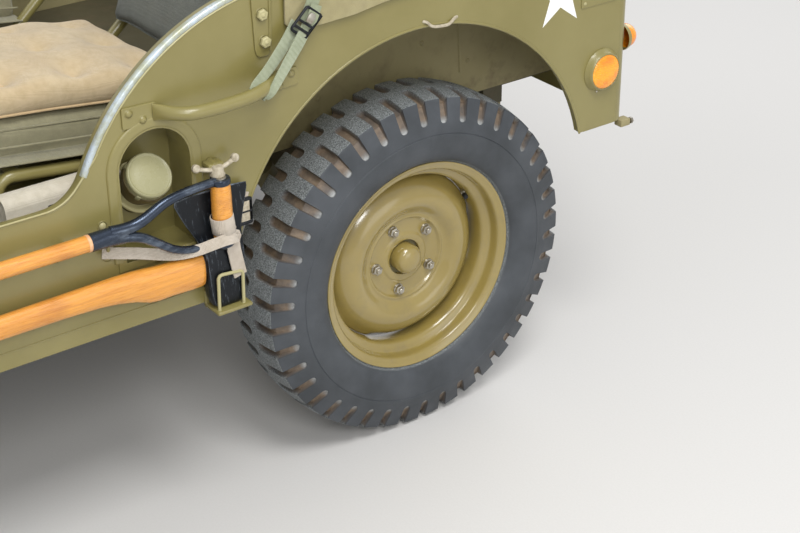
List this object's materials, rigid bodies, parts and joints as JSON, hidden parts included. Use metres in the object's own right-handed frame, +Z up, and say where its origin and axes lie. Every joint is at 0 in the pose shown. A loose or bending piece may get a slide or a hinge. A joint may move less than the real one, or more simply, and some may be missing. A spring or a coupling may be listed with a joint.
{
  "type": "army 4x4 car",
  "caption": "Light open army car with four driven wheels, canvas seats, folding windshield, side tools and a rear spare.",
  "frame": {"origin": "on the ground under the middle of the car's box", "axes": "+X to the car's left, -Y to its front, +Z up"},
  "size_m": [1.575, 3.327, 1.6117],
  "materials": {
    "body_paint": "flat light olive khaki paint, sun-bleached",
    "wheel_paint": "flat olive khaki paint",
    "chassis_paint": "flat dark olive paint",
    "hub_paint": "flat olive paint over steel",
    "tyre_rubber": "blue-grey rubber with dried mud in the grooves",
    "spring_steel": "dull oiled steel",
    "engine_iron": "painted cast iron",
    "exhaust_steel": "dull scaled steel",
    "canvas": "dark grey-green canvas",
    "loose_canvas": "pale beige canvas with orange-tan piping",
    "webbing": "pale green cotton webbing",
    "glass": "clear safety glass",
    "lamp_lens": "amber moulded lens in an olive rim",
    "headlamp": "fluted lamp glass",
    "tool_wood": "orange varnished ash",
    "wheel_rim_black": "worn black moulded rim"
  },
  "bodies": {
    "chassis_and_body": {"wheel_spare": "wheel_paint", "tyre_spare": "tyre_rubber", "axle_rear": "chassis_paint", "axle_front": "chassis_paint", "chassis_frame": "chassis_paint", "front_bumper": "body_paint", "leaf_springs": "spring_steel", "dampers": "chassis_paint", "engine_block": "engine_iron", "gearbox": "engine_iron", "prop_shafts": "spring_steel", "radiator": "chassis_paint", "exhaust": "exhaust_steel", "floor_pan": "body_paint", "wheelhouses": "body_paint", "fuel_tank": "body_paint", "body_side_left": "body_paint", "body_side_right": "body_paint", "rear_panel": "body_paint", "spare_carrier": "body_paint", "cowl": "body_paint", "front_fenders": "body_paint", "grille": "body_paint", "headlamps": "headlamp", "steering_column": "chassis_paint", "seat_frames": "body_paint", "seat_pads": "canvas", "loose_cushion": "loose_canvas", "grab_handles": "body_paint", "shovel": "tool_wood", "axe": "tool_wood", "tool_brackets": "body_paint", "marker_lamps": "lamp_lens", "canvas_flap": "canvas", "webbing_straps": "webbing", "seat_pouch": "loose_canvas"},
    "road_wheel_front_left": {"wheel_front_left": "wheel_paint", "tyre_front_left": "tyre_rubber", "hub_front_left": "hub_paint"},
    "road_wheel_front_right": {"wheel_front_right": "wheel_paint", "tyre_front_right": "tyre_rubber", "hub_front_right": "hub_paint"},
    "road_wheel_rear_left": {"wheel_rear_left": "wheel_paint", "tyre_rear_left": "tyre_rubber", "hub_rear_left": "hub_paint"},
    "road_wheel_rear_right": {"wheel_rear_right": "wheel_paint", "tyre_rear_right": "tyre_rubber", "hub_rear_right": "hub_paint"},
    "knuckle_body_left": {"knuckle_left": "chassis_paint"},
    "knuckle_body_right": {"knuckle_right": "chassis_paint"},
    "track_rod": {"tie_rod": "spring_steel"},
    "hand_wheel": {"steering_wheel": "wheel_rim_black"},
    "hood_lid": {"hood": "body_paint"},
    "windshield": {"windshield_frame": "body_paint", "windshield_glass": "glass"}
  },
  "joints": [
    {"name": "roll_front_left", "type": "hinge", "parent": "knuckle_body_left", "child": "road_wheel_front_left", "pos_m": [0.6225, -1.1085, 0.358], "axis": [1, 0, 0], "continuous": true},
    {"name": "roll_front_right", "type": "hinge", "parent": "knuckle_body_right", "child": "road_wheel_front_right", "pos_m": [-0.6225, -1.1085, 0.358], "axis": [1, 0, 0], "continuous": true},
    {"name": "roll_rear_left", "type": "hinge", "parent": "chassis_and_body", "child": "road_wheel_rear_left", "pos_m": [0.6225, 0.9235, 0.358], "axis": [1, 0, 0], "continuous": true},
    {"name": "roll_rear_right", "type": "hinge", "parent": "chassis_and_body", "child": "road_wheel_rear_right", "pos_m": [-0.6225, 0.9235, 0.358], "axis": [1, 0, 0], "continuous": true},
    {"name": "steer_left", "type": "hinge", "parent": "chassis_and_body", "child": "knuckle_body_left", "pos_m": [0.53, -1.1085, 0.358], "axis": [0, 0, 1], "range_deg": [-25, 25]},
    {"name": "steer_right", "type": "hinge", "parent": "chassis_and_body", "child": "knuckle_body_right", "pos_m": [-0.53, -1.1085, 0.358], "axis": [0, 0, 1], "range_deg": [-25, 25]},
    {"name": "track_rod_pivot", "type": "hinge", "parent": "knuckle_body_left", "child": "track_rod", "pos_m": [0.53, -1.2685, 0.377], "axis": [0, 0, 1], "range_deg": [-25, 25]},
    {"name": "hand_wheel_turn", "type": "hinge", "parent": "chassis_and_body", "child": "hand_wheel", "pos_m": [0.345, -0.075, 1.06], "axis": [0, 0.8763, 0.4817], "range_deg": [-350, 350]},
    {"name": "hood_hinge", "type": "hinge", "parent": "chassis_and_body", "child": "hood_lid", "pos_m": [0, -0.563, 1.047], "axis": [-1, 0, 0], "range_deg": [0, 95]},
    {"name": "windshield_fold", "type": "hinge", "parent": "chassis_and_body", "child": "windshield", "pos_m": [0, -0.352, 1.073], "axis": [-1, 0, 0], "range_deg": [-98, 0]}
  ],
  "couplings": [
    {"joint": "steer_right", "follows": "steer_left", "ratio": 1},
    {"joint": "track_rod_pivot", "follows": "steer_left", "ratio": -1},
    {"joint": "hand_wheel_turn", "follows": "steer_left", "ratio": 14}
  ]
}
